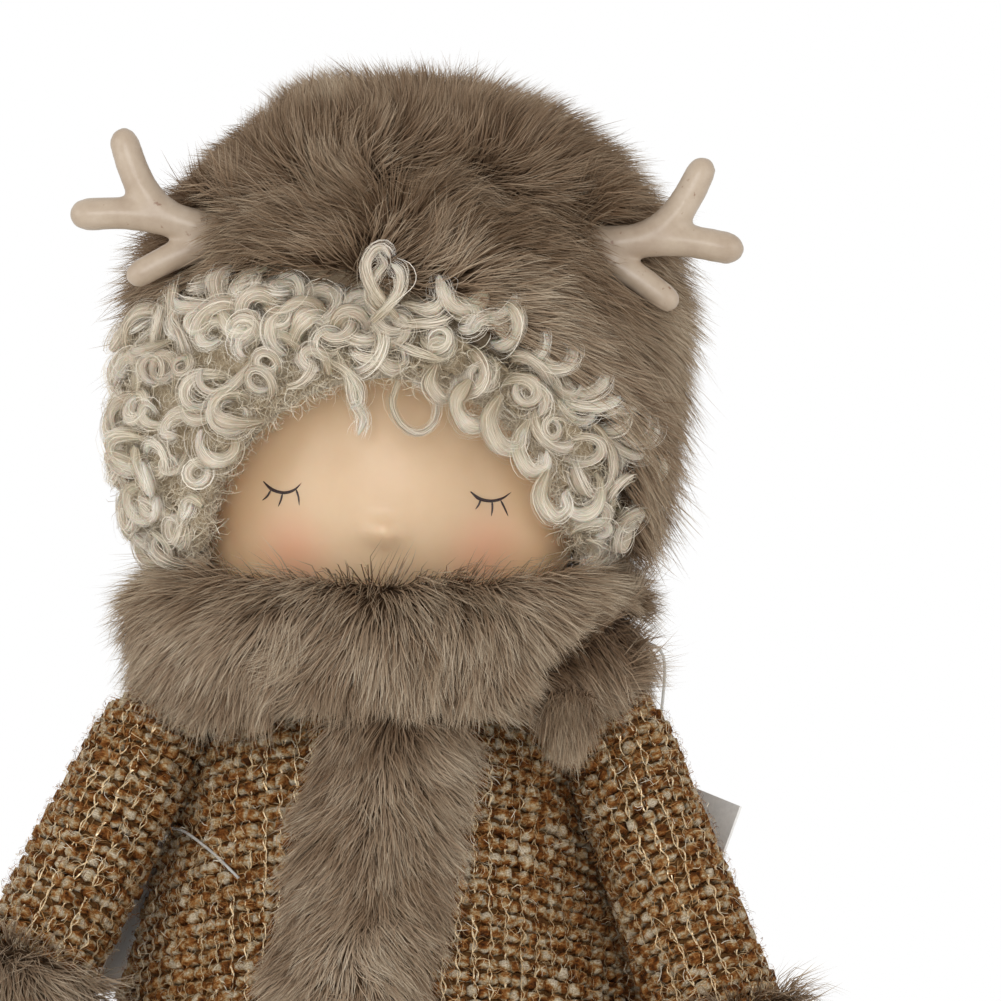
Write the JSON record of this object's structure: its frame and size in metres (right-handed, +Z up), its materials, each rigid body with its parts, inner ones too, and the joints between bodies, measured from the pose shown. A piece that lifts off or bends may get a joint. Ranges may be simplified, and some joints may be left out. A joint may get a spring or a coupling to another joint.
{
  "type": "christmas doll",
  "caption": "Standing stuffed winter doll with a hard moulded head, curly hair, fur hat with antlers, fur scarf, flared tweed coat, mittens and boots.",
  "frame": {"origin": "on the floor between the boots, at the middle of the doll's own width and depth", "axes": "+Z up, the doll faces -Y, +X towards the doll's own left"},
  "size_m": [0.1841, 0.1372, 0.3859],
  "materials": {
    "fur": "faux fur, matte",
    "tweed": "boucle tweed, matte with fine metallic yarn",
    "hair": "curled mohair, soft",
    "skin": "satin",
    "antler": "semi-gloss paint",
    "cloth": "plain, matte",
    "felt": "felt, matte",
    "wood": "raw",
    "steel": "plain",
    "plastic": "moulded",
    "rubber": "matte",
    "paper": "plain white"
  },
  "bodies": {
    "body": {"neck_dowel": "wood", "coat_body": "tweed", "torso_stuffing": "cloth", "neck_tie": "plastic", "coat_placket": "fur", "hem_trim": "fur", "scarf_loop": "fur", "scarf_tail": "fur", "shoulder_cord": "cloth", "hip_board": "wood", "leg_left": "cloth", "leg_right": "cloth", "leg_rod_left": "steel", "leg_rod_right": "steel", "boot_left": "felt", "boot_right": "felt", "boot_sole_left": "rubber", "boot_sole_right": "rubber", "boot_weight_left": "steel", "boot_weight_right": "steel", "boot_trim_left": "fur", "boot_trim_right": "fur", "tag_card_front": "paper", "tag_pin_front": "plastic", "tag_card_side": "paper", "tag_pin_side": "plastic"},
    "head": {"head_shell": "skin", "neck_plug": "plastic", "wig_cap": "cloth", "curly_wig": "hair", "hat_crown": "fur", "hat_lining": "cloth", "hat_wadding": "cloth", "antler_left": "antler", "antler_right": "antler"},
    "left_arm": {"sleeve_left": "tweed", "arm_stuffing_left": "cloth", "shoulder_disc_left": "plastic", "cuff_left": "fur", "mitten_left": "felt"},
    "right_arm": {"sleeve_right": "tweed", "arm_stuffing_right": "cloth", "shoulder_disc_right": "plastic", "cuff_right": "fur", "mitten_right": "felt"}
  },
  "joints": [
    {"name": "head_turn", "type": "hinge", "parent": "body", "child": "head", "pos_m": [0.0033, 0, 0.262], "axis": [0, 0, 1], "range_deg": [-25, 25]},
    {"name": "left_shoulder", "type": "hinge", "parent": "body", "child": "left_arm", "pos_m": [0.0503, -0.008, 0.252], "axis": [-1, 0, 0], "range_deg": [0, 65]},
    {"name": "right_shoulder", "type": "hinge", "parent": "body", "child": "right_arm", "pos_m": [-0.0437, -0.008, 0.252], "axis": [-1, 0, 0], "range_deg": [0, 65]}
  ]
}
